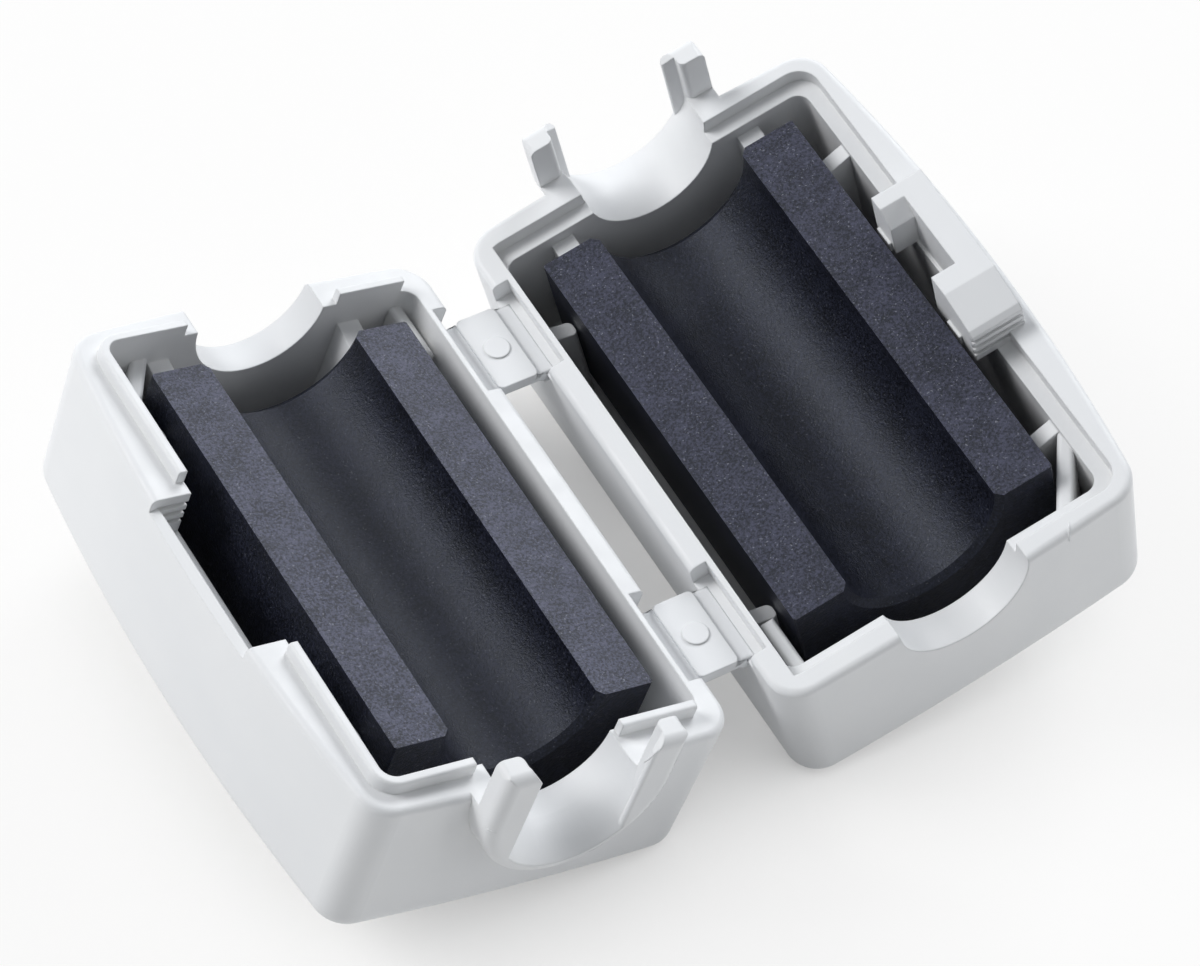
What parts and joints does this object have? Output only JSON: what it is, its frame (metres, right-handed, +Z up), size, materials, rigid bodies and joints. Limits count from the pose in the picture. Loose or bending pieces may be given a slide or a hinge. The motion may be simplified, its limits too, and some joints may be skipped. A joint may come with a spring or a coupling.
{
  "type": "open clip on ferrite bead",
  "caption": "Hinged white plastic case holding two half-round ferrite blocks that fold together round a cable and latch, with clawed collars that grip the cable.",
  "frame": {"origin": "bottom centre of the bounding box, with the case open as in the picture", "axes": "+X from the socket half across the hinge to the latch half, +Y along the cable, +Z up out of the open case"},
  "size_m": [0.0616, 0.046, 0.021],
  "materials": {
    "case": "satin moulded white polyamide",
    "ferrite": "dark sintered ferrite with ground mating faces"
  },
  "bodies": {
    "socket_half": {"socket_shell": "case", "socket_core": "ferrite"},
    "hinge_link": {"hinge_strap_far": "case", "hinge_strap_near": "case"},
    "latch_half": {"latch_shell": "case", "latch_core": "ferrite"}
  },
  "joints": [
    {"name": "socket_bend", "type": "hinge", "parent": "socket_half", "child": "hinge_link", "pos_m": [-0.0018, 0, 0.00949], "axis": [0, -1, 0], "range_deg": [-15.28, 74.72]},
    {"name": "latch_bend", "type": "hinge", "parent": "hinge_link", "child": "latch_half", "pos_m": [0.0018, 0, 0.00949], "axis": [0, -1, 0], "range_deg": [-15.28, 74.72]}
  ],
  "couplings": [
    {"joint": "latch_bend", "follows": "socket_bend", "ratio": 1}
  ]
}
